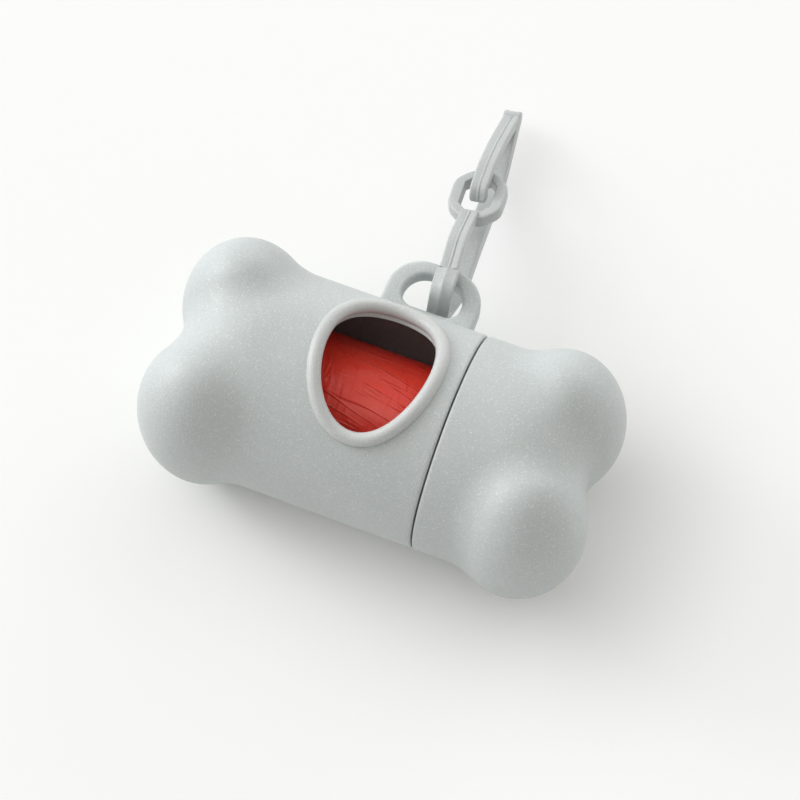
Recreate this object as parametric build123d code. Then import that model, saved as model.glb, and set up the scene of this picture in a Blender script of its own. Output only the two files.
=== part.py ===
from build123d import *
import math
import os

# Dispenser for rolls of dog waste bags, shaped like a bone: a hollow case that unscrews
# near one end, a window to draw the bags through, a lug, and a sprung clip in the lug.
# Millimetres, +Z up. The case lies on its side. The origin is on the surface it lies on,
# under the middle of the case; +X runs along the case to the cap, +Y to the lug.

# ---- case, outside ----
case_radius = 20.0          # straight middle of the bone
side_length = 21.0          # from the middle to where the side starts to draw in
end_reach = 38.3            # from the middle to the notch between two lobes
end_fullness = 2.6          # exponent of the drawn-in end: 2 is an ellipse, more is squarer
lobe_x = 29.8               # centres of the four lobes
lobe_y = 10.3
lobe_radius = 11.9
lobe_half_height = 0.98 * case_radius
lobe_blend = 11.0           # radius of the soft joint between lobe and side
wall = 0.09 * case_radius

# ---- split between body and cap ----
split_x = 13.0
split_gap = 0.25
mouth_round = 0.5

# ---- threaded neck of the body, and the thread inside the cap ----
neck_bond = 5.0             # length set into the mouth of the body
neck_length = 7.0           # length that stands out into the cap
neck_wall = 1.4
neck_lead = 0.6             # chamfer at the neck's free end
thread_depth = 1.15         # from the cap's bore in to the neck
thread_clearance = 0.08
thread_start = 0.4          # from the body's mouth to the cap's thread
thread_length = 6.0
cap_clearance = 0.05

# ---- window ----
window_x = -1.4
window_width = 17.8
window_length = 1.2 * case_radius      # measured round the case
window_turn = 0.8           # window's centre towards the lug, measured round the case
window_egg = 0.09           # how much wider the lug side is than the other side
rim_width = 0.135 * case_radius
rim_stand = rim_width / 2   # height above the skin
rim_round = 0.7 * rim_stand

# ---- lug ----
lug_x = 0.4
lug_width = 17.8
lug_reach = case_radius + 11.0
lug_corner = 6.6
lug_thickness = 3.6
lug_edge = 0.5
lug_bar = 2.5               # outer bar, which the clip hangs on
lug_web = 1.6               # between the eye and the case
eye_width = 11.0
eye_near = case_radius + lug_web
eye_far = lug_reach - lug_bar
eye_corner = 2.4
eye_crown = 4.2

# ---- bag roll ----
roll_radius = 0.63 * case_radius
roll_length = 58.0
roll_x = -1.0
roll_lie = 0.3              # gap between the roll and the neck it lies on
core_radius = 0.4 * case_radius
core_wall = 0.9
bag_play = 0.02             # the film is wound on the core

# ---- clip, drawn flat in its own frame: along it, then height towards the gate side ----
clip_at = (2.62, eye_near + 2.4, case_radius)
clip_droop = 15.8           # far end down towards the table
clip_lean = 8.0             # gate side leans to the closed end of the case
clip_yaw = 7.1
clip_width = 3.4
clip_root_width = 4.2
bar_draft = 0.12            # each side face narrows by this from the mould line
back_bar = 3.0              # thickness of the bars, seen from the side
root_bar = 1.8
nose_bar = 2.0
gate_bar = 1.8
root_line = [(4.6, 4.85), (-0.4, 4.85), (0.5, -4.2), (9.0, -5.3)]
back_line = [(9.0, -5.3), (20.0, -5.6), (39.0, -6.9), (52.0, -2.1)]
nose_line = [(52.0, -2.1), (39.5, 2.2), (33.0, 3.65), (26.8, 3.75), (25.8, 1.6)]
gate_line = [(5.2, 4.85), (12.5, 5.2), (21.4, 1.9)]
hinge_play = 0.06
ring_at = 26.2
ring_height = 1.15
ring_thickness = 2.6
ring_width = 10.2
ring_length = 11.0
ring_bevel = 2.9            # cuts the corners of the ring
hole_width = 5.7
hole_length = 7.3
hole_bevel = 1.4            # cuts the corners of the hole
ring_edge = 0.3

bore = case_radius - wall
neck_radius = bore - thread_depth
axis_height = case_radius
case_axis = Axis((0, 0, 0), (1, 0, 0))
far = 4 * case_radius


def end_profile(inset):
    """Side of one end of the bone, as a closed half outline below the axis."""
    radius = case_radius - inset
    depth = end_reach - inset - side_length
    steps = 8
    curve = []
    for step in range(steps + 1):
        turn = math.pi / 2 * step / steps
        along = math.sin(turn) ** (2 / end_fullness)
        across = max(math.cos(turn), 0.0) ** (2 / end_fullness)
        curve.append((side_length + depth * along, -radius * across))
    with BuildSketch(Plane.XZ) as outline:
        with BuildLine():
            Spline(*curve, tangents=[(1, 0), (0, 1)])
            Polyline((side_length, -radius), (0, -radius), (0, 0), (end_reach - inset, 0))
        make_face()
    return outline.sketch


def lobe(inset):
    """One of the bone's knobs, an upright ellipsoid."""
    tall = lobe_half_height - inset
    wide = lobe_radius - inset
    with BuildSketch(Plane.XZ) as half:
        with BuildLine():
            arc = EllipticalCenterArc((0, 0), tall, wide, start_angle=0, arc_size=180, rotation=-90)
            Line(arc @ 1, arc @ 0)
        make_face()
    return Pos(lobe_x, lobe_y, 0) * revolve(half.sketch, axis=Axis.Z)


def region(x=(-far, far), y=(-far, far), z=(-far, far)):
    """Box between limits, to keep one part of a solid."""
    spans = (x, y, z)
    size = [high - low for low, high in spans]
    middle = [(high + low) / 2 for low, high in spans]
    return Pos(*middle) * Box(*size)


def end_wall():
    """Upper half of the wall at one end, from the middle of the case: the quarter with one
    knob is blended and hollowed, then mirrored."""
    joined = revolve(end_profile(0), axis=case_axis) + lobe(0)
    seams = [
        edge
        for edge in joined.edges()
        if edge.geom_type == GeomType.BSPLINE and edge.bounding_box().size.Y > 1
    ]
    blended = joined.fillet(lobe_blend, seams)
    hollow = revolve(end_profile(wall), axis=case_axis) + lobe(wall)
    quarter = (blended & region(y=(0, far), z=(0, far))) - hollow
    return quarter + mirror(quarter, about=Plane.XZ)


def tube(outer, inner, start, end):
    """Round tube about the case's axis."""
    length = end - start
    ring = Cylinder(outer, length) - Cylinder(inner, 2 * length)
    return Pos((start + end) / 2, 0, 0) * Rot(0, 90, 0) * ring


def egg(grow):
    """Upright prism on the window's outline, which is drawn round the case and is made
    larger or smaller than the opening by grow."""
    half_width = window_width / 2 + grow
    half_length = window_length / 2 + grow
    points = []
    steps = 12
    for step in range(steps):
        turn = 2 * math.pi * step / steps
        along = window_x + half_width * math.cos(turn) * (1 + window_egg * math.sin(turn))
        round_case = (window_turn + half_length * math.sin(turn)) / case_radius
        points.append((along, case_radius * math.sin(round_case)))
    with BuildSketch() as outline:
        with BuildLine():
            Spline(*points, periodic=True)
        make_face()
    return extrude(outline.sketch, amount=2 * case_radius)


def window_rim():
    """Rounded bead set in the edge of the window."""
    band = tube(case_radius + rim_stand, bore + 0.1, -side_length, side_length)
    ring = (egg(rim_width) - egg(0)) & band
    return ring.fillet(rim_round, ring.edges())


def lug():
    """Flat eye on the parting line, its root let into the wall."""
    root = case_radius - wall / 2
    with BuildSketch() as outline:
        with Locations((lug_x, (root + lug_reach) / 2)):
            Rectangle(lug_width, lug_reach - root)
        fillet(outline.vertices().group_by(Axis.Y)[-1], lug_corner)
    with BuildSketch() as eye:
        with Locations((lug_x, (eye_near + eye_far) / 2)):
            Rectangle(eye_width, eye_far - eye_near)
        fillet(eye.vertices().group_by(Axis.Y)[-1], eye_crown)
        fillet(eye.vertices().group_by(Axis.Y)[0], eye_corner)
    plate = extrude(outline.sketch - eye.sketch, amount=lug_thickness / 2, both=True)
    rounded = [
        edge
        for face in plate.faces().filter_by(Axis.Z)
        for edge in face.edges()
        if edge.bounding_box().max.Y > root + lug_edge
    ]
    return plate.fillet(lug_edge, rounded)


def mouth(solid):
    """Round the outer edge where body and cap meet."""
    edges = [
        edge
        for edge in solid.edges().filter_by(GeomType.CIRCLE)
        if abs(edge.radius - case_radius) < 0.01 and abs(edge.center().X - split_x) < 1
    ]
    return solid.fillet(mouth_round, edges)


def cap_upper(end):
    return mouth(end & region(x=(split_x + split_gap, far)))


def body_half(end):
    """Body without window and lug: the closed end, and the tube as far as the split."""
    return mouth(mirror(end, about=Plane.YZ) + (end & region(x=(0, split_x))))


def neck():
    """Collar set in the mouth of the body; the cap screws on to the part that stands out."""
    bore_inside = neck_radius - neck_wall
    end = split_x + neck_length
    root = tube(bore, bore_inside, split_x - neck_bond, split_x)
    stub = tube(neck_radius, bore_inside, split_x, end)
    lead = stub.edges().filter_by(GeomType.CIRCLE).group_by(Axis.X)[-1]
    stub = stub.chamfer(neck_lead, neck_lead, lead.sort_by(SortBy.RADIUS)[-1:])
    return root + stub


def cap_thread():
    start = split_x + thread_start
    return tube(bore - cap_clearance, neck_radius + thread_clearance, start, start + thread_length)


def roll(outer, inner):
    """Hollow roll that lies on the inside of the neck."""
    bore_inside = neck_radius - neck_wall
    height = -(bore_inside - roll_lie - roll_radius)
    half = roll_length / 2
    return Pos(0, 0, height) * tube(outer, inner, roll_x - half, roll_x + half)


def ribbon(line, radii, thickness):
    """Bar of even thickness that follows a bent line, as a flat shape."""
    with BuildSketch(Plane.YZ) as shape:
        with BuildLine():
            if radii:
                path = FilletPolyline(*line, radius=radii)
            else:
                path = Polyline(*line)
        trace(path, line_width=thickness)
    return shape.sketch


def disc(place, radius):
    with BuildSketch(Plane.YZ) as shape:
        with Locations(place):
            Circle(radius)
    return shape.sketch


def drafted(shape, width):
    """Moulding of a flat shape: it narrows both ways from the line in its middle."""
    solid = extrude(shape, amount=width / 2, both=True)
    for side in (0, -1):
        face = solid.faces().filter_by(Axis.X).sort_by(Axis.X)[side]
        solid = solid.chamfer(bar_draft, width / 2 - 0.1, face.edges(), face)
    return solid


def clip_frame():
    """Root in the lug, long back, far bend and nose."""
    root = drafted(ribbon(root_line, [1.6, 3.0], root_bar), clip_root_width)
    shape = ribbon(back_line, [60.0, 16.0], back_bar) + disc(back_line[-1], back_bar / 2)
    shape = shape + ribbon(nose_line, [30.0, 20.0, 1.2], nose_bar)
    seat = extrude(disc(gate_line[0], gate_bar / 2 + hinge_play), amount=clip_width, both=True)
    return root + drafted(shape, clip_width) - seat


def eight_sided(width, length, bevel):
    """Rectangle with its corners cut off."""
    with BuildSketch() as shape:
        Rectangle(width, length)
        chamfer(shape.vertices(), bevel)
    return shape.sketch


def clip_gate():
    """Sprung tongue that ends in a ring; the nose of the clip hooks into the ring."""
    flat = ribbon(gate_line, [14.0], gate_bar) + disc(gate_line[0], gate_bar / 2)
    tongue = drafted(flat, clip_width)
    plate = eight_sided(ring_width, ring_length, ring_bevel)
    plate = fillet(plate.vertices(), ring_bevel)
    ring = Pos(0, 0, -ring_thickness / 2) * extrude(plate, amount=ring_thickness)
    rims = [edge for face in ring.faces().filter_by(Axis.Z) for edge in face.edges()]
    ring = Pos(0, ring_at, ring_height) * ring.fillet(ring_edge, rims)
    outline = eight_sided(hole_width, hole_length, hole_bevel)
    hole = Pos(0, ring_at, 0) * extrude(outline, amount=case_radius, both=True)
    return tongue + ring - hole


def clip_placed(solid):
    turned = Rot(0, 0, clip_yaw) * Rot(0, -clip_lean, 0) * Rot(-clip_droop, 0, 0)
    return Pos(*clip_at) * turned * solid


lifted = Pos(0, 0, axis_height)
above = region(z=(0, far))
below = region(z=(-far, 0))
end = end_wall()
cap = cap_upper(end)
body = body_half(end)
eye = lug()

parts = {
    "body_upper_shell": lifted * (body + (eye & above) - egg(rim_width)),
    "body_lower_shell": lifted * (mirror(body, about=Plane.XY) + (eye & below)),
    "cap_upper_shell": lifted * cap,
    "cap_lower_shell": lifted * mirror(cap, about=Plane.XY),
    "window_rim": lifted * window_rim(),
    "neck_collar": lifted * neck(),
    "cap_thread_ring": lifted * cap_thread(),
    "roll_core": lifted * roll(core_radius, core_radius - core_wall),
    "bag_roll": lifted * roll(roll_radius, core_radius + bag_play),
    "clip_frame": clip_placed(clip_frame()),
    "clip_gate": clip_placed(clip_gate()),
}

os.makedirs("parts", exist_ok=True)
for name, shape in parts.items():
    export_step(shape, f"parts/{name}.step")
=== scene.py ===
import math

import bmesh
import bpy
import numpy as np
from mathutils import Matrix, Vector
from mathutils.bvhtree import BVHTree


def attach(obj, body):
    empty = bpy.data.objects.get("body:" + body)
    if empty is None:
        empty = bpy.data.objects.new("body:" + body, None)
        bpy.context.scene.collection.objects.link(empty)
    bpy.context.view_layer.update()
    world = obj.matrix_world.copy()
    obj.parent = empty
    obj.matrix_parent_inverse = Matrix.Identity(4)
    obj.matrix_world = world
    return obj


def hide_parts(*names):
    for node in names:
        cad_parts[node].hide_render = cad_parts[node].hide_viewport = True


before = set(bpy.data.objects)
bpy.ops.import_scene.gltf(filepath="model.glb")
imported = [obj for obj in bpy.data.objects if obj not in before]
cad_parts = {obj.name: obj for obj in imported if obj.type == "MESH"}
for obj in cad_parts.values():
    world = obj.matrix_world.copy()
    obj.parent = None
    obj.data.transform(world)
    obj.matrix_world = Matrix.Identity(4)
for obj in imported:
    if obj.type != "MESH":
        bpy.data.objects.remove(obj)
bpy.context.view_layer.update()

MM = 0.001
scene = bpy.context.scene


# ---------------------------------------------------------------------------
# Case body. The long part of the bone: a moulded plastic shell with two knobs at the
# closed end, open where the cap meets it. Its two halves are joined along the line that
# runs through the lug, and the wall is cut away for the window.
# ---------------------------------------------------------------------------
# Lengths are in millimetres, here and in the sections on the other pieces.
axis_height = 20.0
case_radius = 20.0
wall = 1.8
mouth_x = 13.0
mouth_round = 0.5
bore_edge = 0.25
end_centre = 17.0
columns = 176
around = (np.arange(columns) + 0.5) * 2 * math.pi / columns


def made_piece(name, shape):
    """Object with this shape as its mesh. The shape is used up."""
    data = bpy.data.meshes.new(name)
    shape.to_mesh(data)
    shape.free()
    piece = bpy.data.objects.new(name, data)
    scene.collection.objects.link(piece)
    return piece


def end_rings(inside):
    """Rings of one end of the bone, from the tube to just before the notch's middle. They are
    felt out on the cap's solids, either on the skin or on the inside of the wall."""
    end_rows = 44
    well_outside = 60.0
    solids = bmesh.new()
    for node in ("cap_upper_shell", "cap_lower_shell"):
        solids.from_mesh(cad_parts[node].data)
    surface = BVHTree.FromBMesh(solids)
    solids.free()
    centre = Vector((end_centre, 0, axis_height))
    rings = []
    for tilt in np.linspace(math.pi / 2, 0, end_rows + 1)[1:-1]:
        ring = []
        for turn in around:
            across = math.sin(tilt)
            ray = Vector((math.cos(tilt), across * math.cos(turn), across * math.sin(turn)))
            if inside:
                hit = surface.ray_cast(centre * MM, ray)[0]
            else:
                hit = surface.ray_cast((centre + ray * well_outside) * MM, -ray)[0]
            ring.append(hit / MM - Vector((0, 0, axis_height)))
        rings.append(ring)
    return soft_notch(np.array(rings))


def soft_notch(rings):
    """Eases the surface between the two knobs, where no crease shows on the real piece."""
    passes, push = 24, 0.5
    soft_side, side_fade = 4.0, 2.5
    soft_from, end_fade = 24.0, 6.0
    for _ in range(passes):
        beside = (np.roll(rings, 1, axis=1) + np.roll(rings, -1, axis=1)) / 2
        above = rings.copy()
        above[1:-1] = (rings[:-2] + rings[2:]) / 2
        near = np.clip((soft_side - np.abs(rings[..., 1:2])) / side_fade, 0, 1)
        near = near * np.clip((rings[..., 0:1] - soft_from) / end_fade, 0, 1)
        rings = rings + push * near * ((beside + above) / 2 - rings)
    return rings


def tube_ring(x, radius):
    """Ring of points round the case's axis."""
    ring = np.stack([np.full(columns, x), radius * np.cos(around), radius * np.sin(around)])
    return ring.T


def shell_mesh(name, end_skin, end_inside, mouth, side):
    """Closed shell: the skin from its pole to the mouth, round the mouth's lip, and back
    inside. side is 1 for the cap's end of the case and -1 for the closed end."""
    skin_step, bore_step = 0.9, 1.2
    along_skin = np.arange(end_centre, mouth + mouth_round, -skin_step)
    tube = [tube_ring(x, case_radius) for x in along_skin]
    lip = []
    for turn in np.linspace(0, math.pi / 2, 6):
        shift = mouth_round * (1 - math.sin(turn))
        radius = case_radius - mouth_round * (1 - math.cos(turn))
        lip.append(tube_ring(mouth + shift, radius))
    bore = case_radius - wall
    lip.append(tube_ring(mouth, bore + bore_edge))
    lip.append(tube_ring(mouth + bore_edge, bore))
    along_bore = np.arange(mouth + 1.0, end_centre, bore_step)
    inner_tube = [tube_ring(x, bore) for x in (*along_bore, end_centre)]
    rings = list(end_skin[::-1]) + tube + lip + inner_tube + list(end_inside)
    outer_pole = end_skin[-1].mean(axis=0)
    inner_pole = end_inside[-1].mean(axis=0)
    mesh = bmesh.new()
    flip = np.array([side, 1, 1])
    lift = np.array([0, 0, axis_height])
    rows = [
        [mesh.verts.new((point * flip + lift) * MM) for point in ring]
        for ring in rings
    ]
    poles = [mesh.verts.new((point * flip + lift) * MM) for point in (outer_pole, inner_pole)]
    for upper, lower in zip(rows[:-1], rows[1:]):
        for step in range(columns):
            after = (step + 1) % columns
            mesh.faces.new((upper[step], upper[after], lower[after], lower[step]))
    for pole, row in zip(poles, (rows[0], rows[-1])):
        for step in range(columns):
            mesh.faces.new((pole, row[step], row[(step + 1) % columns]))
    bmesh.ops.recalc_face_normals(mesh, faces=mesh.faces)
    return made_piece(name, mesh)


def apply_modifiers(piece):
    """Turns what the modifiers give into the piece's own mesh."""
    bpy.context.view_layer.update()
    graph = bpy.context.evaluated_depsgraph_get()
    data = bpy.data.meshes.new_from_object(piece.evaluated_get(graph))
    piece.modifiers.clear()
    piece.data = data


def cut(piece, tool, operation="DIFFERENCE"):
    """Cuts the tool out of the piece, or joins it on, and removes the tool."""
    modifier = piece.modifiers.new("cut", "BOOLEAN")
    modifier.operation = operation
    modifier.solver = "EXACT"
    modifier.object = tool
    apply_modifiers(piece)
    bpy.data.objects.remove(tool)


def smooth_by_angle(piece, degrees):
    """Shades a mesh smooth except across edges sharper than this."""
    data = piece.data
    shape = bmesh.new()
    shape.from_mesh(data)
    for face in shape.faces:
        face.smooth = True
    for edge in shape.edges:
        edge.smooth = edge.calc_face_angle(0) < math.radians(degrees)
    shape.to_mesh(data)
    shape.free()


end_skin = end_rings(False)
end_inside = end_rings(True)
bone_body = shell_mesh("bone_body", end_skin, end_inside, -mouth_x, -1)

# The window's middle lies a little towards the lug. Its turn and length are measured round
# the case, and the egg is how much wider the lug's side is. The wall's cut edge lies back
# under the rim's bead.
window_x, window_turn = -1.6, 2.2
window_width, window_length, window_egg = 18.5, 26.0, 0.09
window_steps, window_cut = 96, 8.0
under_bead = 0.75


def window_line(grow, radius, steps):
    """Egg-shaped outline of the window, wrapped round the case."""
    points = []
    for step in range(steps):
        turn = 2 * math.pi * step / steps
        half_width = window_width / 2 + grow
        half_length = window_length / 2 + grow
        x = window_x + half_width * math.cos(turn) * (1 + window_egg * math.sin(turn))
        bend = (window_turn + half_length * math.sin(turn)) / case_radius
        points.append(Vector((x, radius * math.sin(bend), axis_height + radius * math.cos(bend))))
    return points


def window_tool(grow):
    """Block on the window's outline that cuts the wall square to its skin."""
    shape = bmesh.new()
    inner, outer = (
        [shape.verts.new(place * MM) for place in window_line(grow, radius, window_steps)]
        for radius in (case_radius - window_cut, case_radius + window_cut)
    )
    ends = [shape.faces.new(inner[::-1]), shape.faces.new(outer)]
    for step in range(window_steps):
        after = (step + 1) % window_steps
        shape.faces.new((inner[step], inner[after], outer[after], outer[step]))
    bmesh.ops.triangulate(shape, faces=ends)
    bmesh.ops.recalc_face_normals(shape, faces=shape.faces)
    return made_piece("window_tool", shape)


cut(bone_body, window_tool(under_bead))

# The lug is a flat loop, half of it on each shell, and the clip hangs in its eye.
lug_x, lug_width, lug_reach, lug_corner = 0.4, 17.8, 31.0, 6.6
lug_thickness, lug_edge, lug_steps = 3.6, 0.75, 144
lug_root, root_corner = case_radius - wall + 0.3, 1.0
eye_width, eye_near, eye_far = 11.0, 21.6, 28.5
eye_corner, eye_crown = 2.4, 4.2


def rounded_outline(centre, size, near_corner, far_corner, steps):
    """Rectangle with round corners as points about its middle, one for each direction."""
    points = []
    for step in range(steps):
        turn = 2 * math.pi * step / steps
        ray = np.array([math.cos(turn), math.sin(turn)])
        corner = far_corner if ray[1] > 0 else near_corner
        low, high = 0.0, sum(size)
        for _ in range(30):
            middle = (low + high) / 2
            past = np.abs(ray * middle) - np.array(size) / 2 + corner
            gap = math.hypot(max(past[0], 0), max(past[1], 0)) + min(max(past), 0) - corner
            low, high = (middle, high) if gap < 0 else (low, middle)
        points.append(np.array(centre) + ray * low)
    return points


def eyelet(name, outer, inner, low, high, edge, inner_edge):
    """Flat ring between two outlines with the same number of points, its edges rounded."""
    steps = len(outer)
    section = []
    for base, rounding, sign in ((outer, edge, 1), (inner, inner_edge, -1)):
        corners = ((high, 1), (low, -1)) if sign < 0 else ((low, -1), (high, 1))
        for height, way in corners:
            turns = np.linspace(0, math.pi / 2, 5)
            for turn in turns if sign * way < 0 else turns[::-1]:
                inset = rounding * (1 - math.sin(turn))
                level = height - way * rounding * (1 - math.cos(turn))
                section.append((base, sign, inset, level))
    shape = bmesh.new()
    rows = []
    for base, sign, inset, level in section:
        row = []
        for step in range(steps):
            along = base[(step + 1) % steps] - base[step - 1]
            normal = np.array([along[1], -along[0]]) / np.hypot(*along)
            point = base[step] - sign * normal * inset
            row.append(shape.verts.new((point[0] * MM, point[1] * MM, level * MM)))
        rows.append(row)
    for index, row in enumerate(rows):
        other = rows[(index + 1) % len(rows)]
        for step in range(steps):
            after = (step + 1) % steps
            shape.faces.new((row[step], row[after], other[after], other[step]))
    bmesh.ops.recalc_face_normals(shape, faces=shape.faces)
    return made_piece(name, shape)


lug_line = rounded_outline(
    (lug_x, (lug_root + lug_reach) / 2),
    (lug_width, lug_reach - lug_root),
    root_corner,
    lug_corner,
    lug_steps,
)
eye_line = rounded_outline(
    (lug_x, (eye_near + eye_far) / 2),
    (eye_width, eye_far - eye_near),
    eye_corner,
    eye_crown,
    lug_steps,
)
lug_low, lug_high = axis_height - lug_thickness / 2, axis_height + lug_thickness / 2
cut(bone_body, eyelet("lug", lug_line, eye_line, lug_low, lug_high, lug_edge, lug_edge), "UNION")
smooth_by_angle(bone_body, 40)


class Finish:
    """Node tree of one material, with short calls for its nodes. Patterns lie on Object
    coordinates, in metres."""

    def __init__(self, name):
        self.material = bpy.data.materials.new(name)
        self.material.use_nodes = True
        self.nodes = self.material.node_tree.nodes
        self.links = self.material.node_tree.links
        self.shader = self.nodes["Principled BSDF"]
        self.place = self.nodes.new("ShaderNodeTexCoord").outputs["Object"]

    def node(self, kind, **sockets):
        made = self.nodes.new(kind)
        self.set(made, **sockets)
        return made

    def set(self, made, **sockets):
        for socket, value in sockets.items():
            target = made.inputs[socket.replace("_", " ")]
            if isinstance(value, bpy.types.NodeSocket):
                self.links.new(value, target)
            else:
                target.default_value = value

    def noise(self, scale, detail=2.0, roughness=0.5, stretch=(1, 1, 1), turn=(0, 0, 0)):
        """Noise drawn out along the axes, then turned."""
        place = self.node("ShaderNodeMapping", Vector=self.place, Scale=stretch, Rotation=turn)
        place.vector_type = "TEXTURE"
        made = self.node(
            "ShaderNodeTexNoise", Vector=place.outputs["Vector"], Scale=scale, Detail=detail,
            Roughness=roughness,
        )
        return made.outputs["Fac"]

    def ramp(self, factor, *stops):
        """Colours or levels between stops of (position, colour)."""
        made = self.node("ShaderNodeValToRGB", Fac=factor)
        ramp = made.color_ramp
        while len(ramp.elements) < len(stops):
            ramp.elements.new(0.5)
        for element, (position, colour) in zip(ramp.elements, stops):
            element.position = position
            level = (colour,) * 3 if isinstance(colour, (int, float)) else colour
            element.color = (*level, 1)
        return made.outputs["Color"]

    def mix(self, factor, first, second, blend="MIX"):
        made = self.nodes.new("ShaderNodeMix")
        made.data_type = "RGBA"
        made.blend_type = blend
        for index, value in ((0, factor), (6, first), (7, second)):
            if isinstance(value, bpy.types.NodeSocket):
                self.links.new(value, made.inputs[index])
            elif index == 0:
                made.inputs[index].default_value = value
            else:
                made.inputs[index].default_value = (*value, 1)
        return made.outputs[2]

    def bump(self, height, strength, distance, normal=None):
        """Relief this many metres high, on top of the relief in normal."""
        made = self.node("ShaderNodeBump", Height=height, Strength=strength, Distance=distance)
        if normal is not None:
            self.links.new(normal, made.inputs["Normal"])
        return made.outputs["Normal"]


def flecked_plastic(name, colour, fleck, roughness, fleck_share):
    """Satin moulded plastic with fine pale flecks in it. fleck_share is how many of the
    grains are pale."""
    finish = Finish(name)
    darker, lighter = (tuple(part * level for part in colour) for level in (0.955, 1.03))
    cloud = finish.ramp(finish.noise(60, 3), (0.3, darker), (0.7, lighter))
    cells = finish.node("ShaderNodeTexVoronoi", Vector=finish.place, Scale=3600.0)
    near = finish.ramp(cells.outputs["Distance"], (0.2, 1.0), (0.5, 0.0))
    chosen = finish.node("ShaderNodeSeparateColor", Color=cells.outputs["Color"])
    some = finish.ramp(chosen.outputs["Red"], (1 - fleck_share, 0.0), (1 - fleck_share * 0.5, 1.0))
    flecks = finish.mix(1.0, near, some, "MULTIPLY")
    grain = finish.ramp(finish.noise(3000, 2), (0.3, 0.93), (0.7, 1.06))
    toned = finish.mix(1.0, cloud, grain, "MULTIPLY")
    finish.set(finish.shader, Base_Color=finish.mix(flecks, toned, fleck))
    uneven = finish.ramp(finish.noise(900, 2), (0.3, roughness - 0.04), (0.7, roughness + 0.05))
    finish.set(finish.shader, Roughness=uneven)
    skin = finish.bump(finish.noise(1500, 2), 0.12, 0.00008)
    finish.set(finish.shader, Normal=finish.bump(finish.noise(160, 2), 0.10, 0.0002, skin))
    finish.shader.inputs["IOR"].default_value = 1.46
    return finish.material


case_grey, case_fleck = (0.50, 0.53, 0.53), (0.68, 0.71, 0.70)
case_plastic = flecked_plastic("case_plastic", case_grey, case_fleck, 0.48, 0.20)


def dress(piece, material):
    """Gives a piece one material all over."""
    piece.data.materials.clear()
    piece.data.materials.append(material)
    for face in piece.data.polygons:
        face.material_index = 0


dress(bone_body, case_plastic)
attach(bone_body, "case")
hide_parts("body_upper_shell", "body_lower_shell")


# ---------------------------------------------------------------------------
# Cap. The short end of the bone with the other two knobs, moulded like the body, its lip
# a hair's breadth from the body's.
# ---------------------------------------------------------------------------
cap_gap = 0.25
bone_cap = shell_mesh("bone_cap", end_skin, end_inside, mouth_x + cap_gap, 1)
smooth_by_angle(bone_cap, 40)
dress(bone_cap, case_plastic)
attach(bone_cap, "cap")
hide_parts("cap_upper_shell", "cap_lower_shell")


# ---------------------------------------------------------------------------
# Window rim. A round bead of the same plastic that stands out of the skin all round the
# window, so that a bag slides over it without tearing.
# ---------------------------------------------------------------------------
bead_radius = 1.26
bead_stand = 0.07
bead_sides, bead_steps = 24, 144


def swept_tree(name):
    """Node tree that sweeps a section along the line it is given."""
    tree = bpy.data.node_groups.new(name, "GeometryNodeTree")
    tree.interface.new_socket("Line", in_out="INPUT", socket_type="NodeSocketGeometry")
    tree.interface.new_socket("Section", in_out="INPUT", socket_type="NodeSocketObject")
    tree.interface.new_socket("Finish", in_out="INPUT", socket_type="NodeSocketMaterial")
    tree.interface.new_socket("Mesh", in_out="OUTPUT", socket_type="NodeSocketGeometry")
    nodes, links = tree.nodes, tree.links
    given = nodes.new("NodeGroupInput")
    shape = nodes.new("GeometryNodeObjectInfo")
    sweep = nodes.new("GeometryNodeCurveToMesh")
    smooth = nodes.new("GeometryNodeSetShadeSmooth")
    realize = nodes.new("GeometryNodeRealizeInstances")
    finish = nodes.new("GeometryNodeSetMaterial")
    result = nodes.new("NodeGroupOutput")
    sweep.inputs["Fill Caps"].default_value = True
    links.new(given.outputs["Line"], sweep.inputs["Curve"])
    links.new(given.outputs["Section"], shape.inputs["Object"])
    links.new(shape.outputs["Geometry"], sweep.inputs["Profile Curve"])
    links.new(sweep.outputs["Mesh"], smooth.inputs["Geometry"])
    links.new(smooth.outputs["Geometry"], realize.inputs["Geometry"])
    links.new(realize.outputs["Geometry"], finish.inputs["Geometry"])
    links.new(given.outputs["Finish"], finish.inputs["Material"])
    links.new(finish.outputs["Geometry"], result.inputs["Mesh"])
    return tree


sweep_tree = swept_tree("sweep_section")


def line_object(name, points, closed, up="Z_UP"):
    """Curve of straight pieces through these points, in millimetres."""
    data = bpy.data.curves.new(name, "CURVE")
    data.dimensions = "3D"
    data.twist_mode = up
    spline = data.splines.new("POLY")
    spline.points.add(len(points) - 1)
    for point, place in zip(spline.points, points):
        point.co = (*(Vector(place) * MM), 1)
    spline.use_cyclic_u = closed
    line = bpy.data.objects.new(name, data)
    scene.collection.objects.link(line)
    return line


def swept(name, line, section, material):
    """Mesh of a section carried along a line. Both are removed."""
    modifier = line.modifiers.new("sweep", "NODES")
    modifier.node_group = sweep_tree
    inputs = {
        item.name: item.identifier
        for item in sweep_tree.interface.items_tree
        if item.in_out == "INPUT"
    }
    modifier[inputs["Section"]] = section
    modifier[inputs["Finish"]] = material
    bpy.context.view_layer.update()
    graph = bpy.context.evaluated_depsgraph_get()
    data = bpy.data.meshes.new_from_object(line.evaluated_get(graph))
    shape = bmesh.new()
    shape.from_mesh(data)
    bmesh.ops.remove_doubles(shape, verts=shape.verts, dist=1e-7)
    bmesh.ops.recalc_face_normals(shape, faces=shape.faces)
    shape.to_mesh(data)
    shape.free()
    piece = bpy.data.objects.new(name, data)
    scene.collection.objects.link(piece)
    bpy.data.objects.remove(line)
    bpy.data.objects.remove(section)
    return piece


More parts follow.
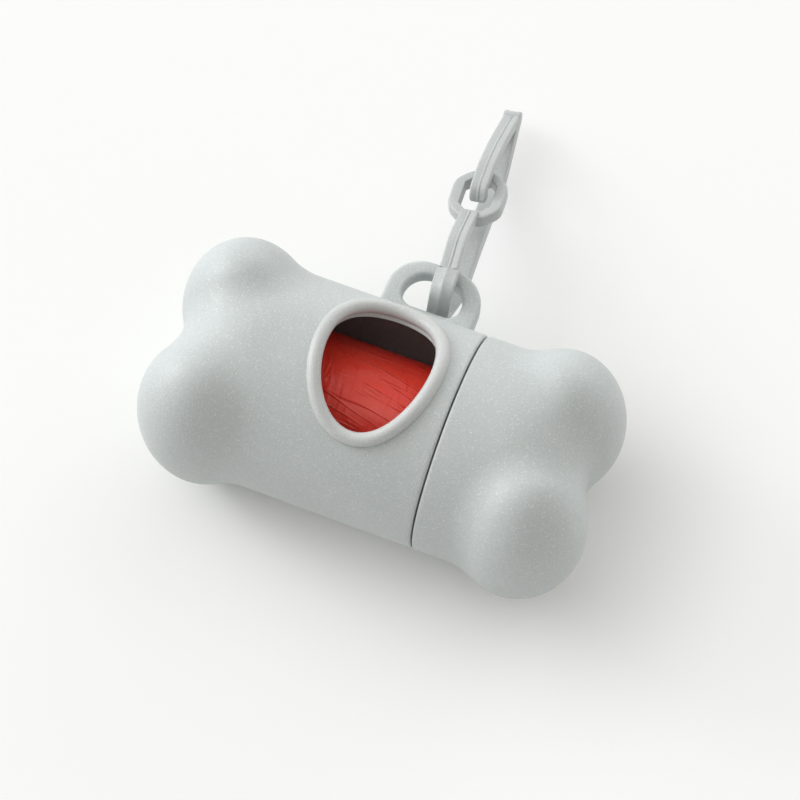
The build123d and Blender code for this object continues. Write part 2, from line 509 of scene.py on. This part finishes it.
rim_grey, rim_fleck = (0.53, 0.54, 0.535), (0.66, 0.68, 0.67)
rim_plastic = flecked_plastic("rim_plastic", rim_grey, rim_fleck, 0.40, 0.06)
circle = []
for step in range(bead_sides):
    turn = 2 * math.pi * step / bead_sides
    circle.append((bead_radius * math.cos(turn), bead_radius * math.sin(turn), 0))
bead_circle = line_object("bead_circle", circle, True)
bead_path = window_line(bead_radius, case_radius + bead_stand, bead_steps)
bead_line = line_object("bead_line", bead_path, True, "MINIMUM")
rim_bead = swept("rim_bead", bead_line, bead_circle, rim_plastic)
smooth_by_angle(rim_bead, 60)
dress(rim_bead, rim_plastic)
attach(rim_bead, "case")
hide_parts("window_rim")


# ---------------------------------------------------------------------------
# Neck. A plain collar in the body's mouth that the cap screws on to, moulded in the same
# plastic as the case, and the thread inside the cap.
# ---------------------------------------------------------------------------
neck_grey, neck_fleck = (0.47, 0.50, 0.51), (0.75, 0.78, 0.78)
neck_plastic = flecked_plastic("neck_plastic", neck_grey, neck_fleck, 0.46, 0.08)
for node in ("neck_collar", "cap_thread_ring"):
    dress(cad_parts[node], neck_plastic)


# ---------------------------------------------------------------------------
# Bag roll. Thin red film folded lengthwise and wound on a board core, so the roll is
# glossy and full of fine creases.
# ---------------------------------------------------------------------------
def red_film(name):
    """Glossy red film: straight creases a little aslant along the roll, short ones across
    it, and slack between them. The long creases come and go."""
    finish = Finish(name)
    along_roll = (2, 1, 1)
    long_stretch, long_turn = (26, 1, 1), (0, 0, -0.21)
    cross_stretch, cross_turn = (1, 4, 4), (0, 0, 0.12)
    worn = finish.noise(120, 3, 0.5, along_roll)
    deep = finish.ramp(worn, (0.35, (0.94, 0.030, 0.014)), (0.70, (0.98, 0.085, 0.055)))
    rough = finish.ramp(finish.noise(260, 3), (0.3, 0.24), (0.7, 0.40))
    finish.set(finish.shader, Base_Color=deep, Roughness=rough, IOR=1.5)
    long_folds = finish.noise(420, 1, 0.3, long_stretch, long_turn)
    long_crease = finish.ramp(long_folds, (0.47, 0.0), (0.5, 1.0), (0.53, 0.0))
    here = finish.ramp(finish.noise(190, 1), (0.42, 0.15), (0.55, 1.0))
    broken_crease = finish.mix(1.0, long_crease, here, "MULTIPLY")
    cross_folds = finish.noise(330, 2, 0.5, cross_stretch, cross_turn)
    cross_crease = finish.ramp(cross_folds, (0.52, 0.0), (0.60, 1.0), (0.68, 0.0))
    slack = finish.bump(finish.noise(90, 1, 0.5, (1.3, 1, 1)), 0.3, 0.0006)
    creased = finish.bump(broken_crease, 0.6, 0.0003, slack)
    finish.set(finish.shader, Normal=finish.bump(cross_crease, 0.4, 0.00018, creased))
    return finish.material


dress(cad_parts["bag_roll"], red_film("bag_film"))

board = Finish("core_board")
fibre = board.noise(500, 4, 0.6, (5, 1, 1))
brown = board.ramp(fibre, (0.3, (0.30, 0.21, 0.13)), (0.7, (0.42, 0.31, 0.20)))
board.set(board.shader, Base_Color=brown, Roughness=0.85)
board.set(board.shader, Normal=board.bump(board.noise(1500, 3), 0.2, 0.0001))
dress(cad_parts["roll_core"], board.material)


# ---------------------------------------------------------------------------
# Clip. One springy moulding of the same plastic: a root hung in the lug, a long back, a
# bend and a nose, and a gate that ends in a ring for the nose. A fine ridge, where the mould
# closed, runs along the middle of every bar but the back. Bars are drawn flat, then laid in place.
# ---------------------------------------------------------------------------
clip_grey, clip_fleck = (0.455, 0.475, 0.475), (0.62, 0.64, 0.64)
clip_plastic = flecked_plastic("clip_plastic", clip_grey, clip_fleck, 0.40, 0.06)
clip_x, clip_y = 2.62, 24.0
clip_yaw, clip_lean, clip_droop = 7.1, -8.0, -15.8
clip_place = (
    Matrix.Translation(Vector((clip_x, clip_y, axis_height)) * MM)
    @ Matrix.Rotation(math.radians(clip_yaw), 4, "Z")
    @ Matrix.Rotation(math.radians(clip_lean), 4, "Y")
    @ Matrix.Rotation(math.radians(clip_droop), 4, "X")
)
upright = Matrix(((0, 0, 1, 0), (1, 0, 0, 0), (0, 1, 0, 0), (0, 0, 0, 1)))
clip_width, nose_width, root_width = 3.4, 3.25, 4.2
bar_edge, bar_step = 0.38, 0.4
ridge_top, ridge_foot = 0.13, 0.27


def bar_line(corners, radii):
    """Bent line with its inner corners rounded, as points at even steps."""
    corners = [np.array(corner, float) for corner in corners]
    points = [corners[0]]
    for before, corner, after, radius in zip(corners, corners[1:], corners[2:], radii):
        back_way = (before - corner) / np.linalg.norm(before - corner)
        on_way = (after - corner) / np.linalg.norm(after - corner)
        half = math.acos(np.clip(back_way @ on_way, -1, 1)) / 2
        middle = back_way + on_way
        middle = corner + middle / np.linalg.norm(middle) * radius / math.sin(half)
        first = corner + back_way * radius / math.tan(half) - middle
        last = corner + on_way * radius / math.tan(half) - middle
        turn = math.pi - 2 * half
        for share in np.linspace(0, 1, 9):
            spoke = first * math.sin((1 - share) * turn) + last * math.sin(share * turn)
            points.append(middle + spoke / math.sin(turn))
    points = np.array(points + [corners[-1]])
    run = np.concatenate([[0], np.cumsum(np.linalg.norm(np.diff(points, axis=0), axis=1))])
    even = np.linspace(0, run[-1], int(run[-1] / bar_step) + 1)
    return np.stack([np.interp(even, run, points[:, axis]) for axis in (0, 1)], axis=1)


def bar_section(width, thickness, hollow, ridge):
    """Section of a bar: round edges, faces that sink or rise to the middle, and the ridge."""
    flat = width / 2 - bar_edge
    middle = thickness / 2 - max(hollow, 0)
    side = thickness / 2 + min(hollow, 0)
    ridge_high = middle + ridge
    quarter = [(ridge_high, 0), (ridge_high, ridge_top), (middle, ridge_foot), (side, flat)]
    for turn in np.linspace(0, math.pi / 2, 6)[1:]:
        sunk, out = bar_edge * (1 - math.cos(turn)), bar_edge * math.sin(turn)
        quarter.append((side - sunk, flat + out))
    half = quarter + [(-high, wide) for high, wide in quarter[::-1]]
    whole = half + [(high, -wide) for high, wide in half[::-1] if wide > 0]
    return [(high, wide, 0) for high, wide in whole]


def clip_bar(name, corners, radii, width, thickness, hollow, ridge, round_end=0.0, dome=False):
    """One bar of the clip in the clip's own frame. Its last stretch can be rounded off in
    its thickness, or in its width as well."""
    centre = bar_line(corners, radii)
    line = line_object(name + "_line", [(y, z, 0) for y, z in centre], False)
    section = line_object(name + "_section", bar_section(width, thickness, hollow, ridge), True)
    bar = swept(name, line, section, clip_plastic)
    if round_end:
        ahead = centre[-1] - centre[-2]
        ahead = ahead / np.linalg.norm(ahead)
        across = np.array([-ahead[1], ahead[0]])
        for vertex in bar.data.vertices:
            place = np.array(vertex.co[:2]) / MM - centre[-1]
            along, off = place @ ahead, place @ across
            if along > -round_end and abs(off) < thickness:
                share = math.sqrt(max(1 - (1 + along / round_end) ** 2, 0.01))
                moved = centre[-1] + ahead * along + across * off * share
                wide = vertex.co[2] * (share if dome else 1)
                vertex.co = (moved[0] * MM, moved[1] * MM, wide)
    bar.data.transform(upright)
    return bar


def eight_sided(centre, width, length, bevel, sharpness):
    """Oblong with cut corners, as points about its middle. The higher the sharpness, the
    less its corners are rounded."""
    steps = 160
    half = 1 / math.sqrt(2)
    slant = (width / 2 + length / 2 - bevel) * half
    sides = ((1, 0, width / 2), (0, 1, length / 2), (half, half, slant), (half, -half, slant))
    points = []
    for step in range(steps):
        turn = 2 * math.pi * step / steps
        ray = np.array([math.cos(turn), math.sin(turn)])
        total = sum((abs(ray[0] * a + ray[1] * b) / far) ** sharpness for a, b, far in sides)
        points.append(np.array(centre) + ray * total ** (-1 / sharpness))
    return points


# A bar's corners lie in the clip's own plane: how far out from the lug, and how high.
clip_frame = clip_bar(
    "clip_frame_piece",
    corners=[(4.48, 4.85), (-0.4, 4.85), (0.5, -4.2), (9.0, -5.3), (10.0, -5.33)],
    radii=[1.6, 3.0],
    width=root_width,
    thickness=1.8,
    hollow=-0.16,
    ridge=0.10,
)

# The root leans to the closed end as it goes down, most at the lug.
root_lean, root_top, root_drop, root_run = 1.6, 4.6, 8.8, 8.0
for vertex in clip_frame.data.vertices:
    _, y, z = np.array(vertex.co) / MM
    drop = min(max((root_top - z) / root_drop, 0), 1)
    near = min(max(1 - (y - 0.5) / root_run, 0), 1)
    vertex.co[0] -= root_lean * drop * near * MM

back = clip_bar(
    "back",
    corners=[(8.2, -5.28), (20.0, -5.6), (39.0, -6.9), (52.0, -2.1), (53.2, -1.66)],
    radii=[60.0, 16.0],
    width=clip_width,
    thickness=3.0,
    hollow=0.0,
    ridge=0.0,
    round_end=1.5,
)
nose = clip_bar(
    "nose",
    corners=[(52.9, -2.40), (39.5, 2.2), (33.0, 3.65), (26.7, 3.75), (25.6, 1.15)],
    radii=[30.0, 20.0, 1.2],
    width=nose_width,
    thickness=2.0,
    hollow=0.2,
    ridge=0.14,
    round_end=0.9,
    dome=True,
)
cut(clip_frame, back, "UNION")
cut(clip_frame, nose, "UNION")

clip_gate = clip_bar(
    "clip_gate_piece",
    corners=[(4.62, 4.86), (12.5, 5.2), (21.6, 1.85)],
    radii=[14.0],
    width=clip_width,
    thickness=1.8,
    hollow=0.32,
    ridge=0.18,
)

# The tongue leans the same way towards its ring.
tongue_lean, tongue_start, tongue_run = 0.6, 6.0, 16.0
for vertex in clip_gate.data.vertices:
    share = min(max((vertex.co[1] / MM - tongue_start) / tongue_run, 0), 1)
    vertex.co[0] -= tongue_lean * share * MM

ring_middle = (-0.25, 26.5)
ring_outer = eight_sided(ring_middle, width=10.4, length=12.4, bevel=3.0, sharpness=14)
ring_hole = eight_sided(ring_middle, width=6.1, length=8.4, bevel=1.5, sharpness=90)
ring_low, ring_high, outer_edge, hole_edge = -0.15, 2.45, 0.45, 0.15
ring = eyelet("ring", ring_outer, ring_hole, ring_low, ring_high, outer_edge, hole_edge)
cut(clip_gate, ring, "UNION")

for piece, body, node in ((clip_frame, "clip", "clip_frame"), (clip_gate, "gate", "clip_gate")):
    piece.data.transform(clip_place)
    smooth_by_angle(piece, 38)
    dress(piece, clip_plastic)
    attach(piece, body)
    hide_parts(node)


# ---------------------------------------------------------------------------
# Table, light and camera. A white table top in a white room, which gives even light from
# all round and broad glows from its windows, and one soft lamp low on the left. Sizes of
# the table and the lamp are in metres.
# ---------------------------------------------------------------------------
# Painted glow on the table: from the case's reach (half its footprint, in metres) it grows over
# the run from the near share to the far share, painting the shadow lighter further out.
case_reach = (0.042, 0.022, 0.0)
painted_glow_near, painted_glow_far, painted_glow_run = 0.04, 0.5, 0.032


def table_white(name):
    """White lacquer, with a painted white glow where it is looked at directly or in a reflection.
    The glow grows further from the case and paints the shadow lighter there; near the case the
    shadow stays."""
    made = bpy.data.materials.new(name)
    made.use_nodes = True
    nodes, links = made.node_tree.nodes, made.node_tree.links
    shader = nodes["Principled BSDF"]
    shader.inputs["Base Color"].default_value = (0.90, 0.90, 0.895, 1)
    shader.inputs["Roughness"].default_value = 0.8
    shader.inputs["Specular IOR Level"].default_value = 0.2
    # Painted white glow, mixed in where the table is seen directly or in a reflection.
    even = nodes.new("ShaderNodeEmission")
    even.inputs["Color"].default_value = (0.98, 0.985, 0.98, 1)
    seen = nodes.new("ShaderNodeLightPath")
    place = nodes.new("ShaderNodeTexCoord").outputs["Object"]
    for operation, value in (
        ("ABSOLUTE", (0, 0, 0)), ("SUBTRACT", case_reach), ("MAXIMUM", (0, 0, 0))
    ):
        step = nodes.new("ShaderNodeVectorMath")
        step.operation = operation
        links.new(place, step.inputs[0])
        step.inputs[1].default_value = value
        place = step.outputs["Vector"]
    away = nodes.new("ShaderNodeVectorMath")
    away.operation = "LENGTH"
    links.new(place, away.inputs[0])
    share = nodes.new("ShaderNodeMapRange")
    share.interpolation_type = "SMOOTHSTEP"
    share.inputs["From Max"].default_value = painted_glow_run
    share.inputs["To Min"].default_value = painted_glow_near
    share.inputs["To Max"].default_value = painted_glow_far
    links.new(away.outputs["Value"], share.inputs["Value"])
    looked_at = seen.outputs["Is Camera Ray"]
    for ray in ("Is Glossy Ray", "Is Transmission Ray"):
        either = nodes.new("ShaderNodeMath")
        either.operation = "MAXIMUM"
        links.new(looked_at, either.inputs[0])
        links.new(seen.outputs[ray], either.inputs[1])
        looked_at = either.outputs[0]
    part = nodes.new("ShaderNodeMath")
    part.operation = "MULTIPLY"
    links.new(share.outputs["Result"], part.inputs[0])
    links.new(looked_at, part.inputs[1])
    mixed = nodes.new("ShaderNodeMixShader")
    links.new(part.outputs[0], mixed.inputs["Fac"])
    links.new(shader.outputs["BSDF"], mixed.inputs[1])
    links.new(even.outputs["Emission"], mixed.inputs[2])
    links.new(mixed.outputs["Shader"], nodes["Material Output"].inputs["Surface"])
    return made


table_shape = bmesh.new()
bmesh.ops.create_grid(table_shape, x_segments=1, y_segments=1, size=3.0)
table_top = made_piece("table_top", table_shape)
dress(table_top, table_white("table_white"))


def heading(azimuth, elevation):
    """Direction as a unit vector. Azimuth is in degrees from +X towards +Y."""
    turn, rise = math.radians(azimuth), math.radians(elevation)
    flat = math.cos(rise)
    return Vector((math.cos(turn) * flat, math.sin(turn) * flat, math.sin(rise)))


def room_light(name, plain, glows):
    """White room: one even colour of light, and soft glows where its windows are. A glow is
    its azimuth and elevation, how sharply it falls off, and its colour at the middle."""
    world = bpy.data.worlds.new(name)
    world.use_nodes = True
    nodes, links = world.node_tree.nodes, world.node_tree.links
    way = nodes.new("ShaderNodeTexCoord").outputs["Generated"]
    lights = [plain]
    for azimuth, elevation, sharpness, colour in glows:
        towards, added = (nodes.new("ShaderNodeVectorMath") for _ in range(2))
        ahead, glow = (nodes.new("ShaderNodeMath") for _ in range(2))
        towards.operation, added.operation = "DOT_PRODUCT", "MULTIPLY_ADD"
        ahead.operation, glow.operation = "MAXIMUM", "POWER"
        towards.inputs[1].default_value = heading(azimuth, elevation)
        links.new(way, towards.inputs[0])
        links.new(towards.outputs["Value"], ahead.inputs[0])
        ahead.inputs[1].default_value = 0.0
        links.new(ahead.outputs[0], glow.inputs[0])
        glow.inputs[1].default_value = sharpness
        links.new(glow.outputs[0], added.inputs[0])
        added.inputs[1].default_value = colour
        if len(lights) == 1:
            added.inputs[2].default_value = plain
        else:
            links.new(lights[-1], added.inputs[2])
        lights.append(added.outputs["Vector"])
    background = nodes["Background"]
    background.inputs["Strength"].default_value = 1.0
    links.new(lights[-1], background.inputs["Color"])
    return world


side_window = (177, 24, 8.0, (3.80, 3.88, 3.92))
back_window = (77, 8, 8.0, (2.90, 2.96, 3.00))
far_wall = (-12, 8, 4.0, (0.78, 0.77, 0.74))
ceiling_light = (180, 80, 10.0, (1.16, 1.13, 1.06))
windows = (side_window, back_window, far_wall, ceiling_light)
scene.world = room_light("room", (0.26, 0.255, 0.245), windows)


def soft_lamp(name, azimuth, elevation, distance, width, height, power, colour):
    """Oblong lamp that points at the case."""
    data = bpy.data.lights.new(name, "AREA")
    data.shape = "RECTANGLE"
    data.size = width
    data.size_y = height
    data.energy = power
    data.color = colour
    lamp = bpy.data.objects.new(name, data)
    scene.collection.objects.link(lamp)
    way = heading(azimuth, elevation)
    lamp.location = way * distance
    lamp.rotation_euler = way.to_track_quat("Z", "Y").to_euler()


soft_lamp(
    "window_light",
    azimuth=174,
    elevation=24,
    distance=1.6,
    width=0.45,
    height=0.55,
    power=5.6,
    colour=(0.98, 1.0, 1.0),
)

# The camera looks down on the front of the case. Its azimuth is degrees round from the front.
camera_azimuth, camera_elevation = 21.07, 68.44
camera_distance, camera_right, camera_up = 415.0, 3.258, 3.097
to_camera = heading(camera_azimuth - 90, camera_elevation)
camera_x = heading(camera_azimuth, 0)
camera_y = to_camera.cross(camera_x)
camera_data = bpy.data.cameras.new("camera")
camera_data.lens = 105.03
camera_data.sensor_width = 36.0
camera = bpy.data.objects.new("camera", camera_data)
scene.collection.objects.link(camera)
turned = Matrix((camera_x, camera_y, to_camera)).transposed().to_4x4()
aim = Vector((0, 0, axis_height)) + camera_x * camera_right + camera_y * camera_up
camera.matrix_world = Matrix.Translation((aim + to_camera * camera_distance) * MM) @ turned
scene.camera = camera
scene.view_settings.view_transform = "Standard"
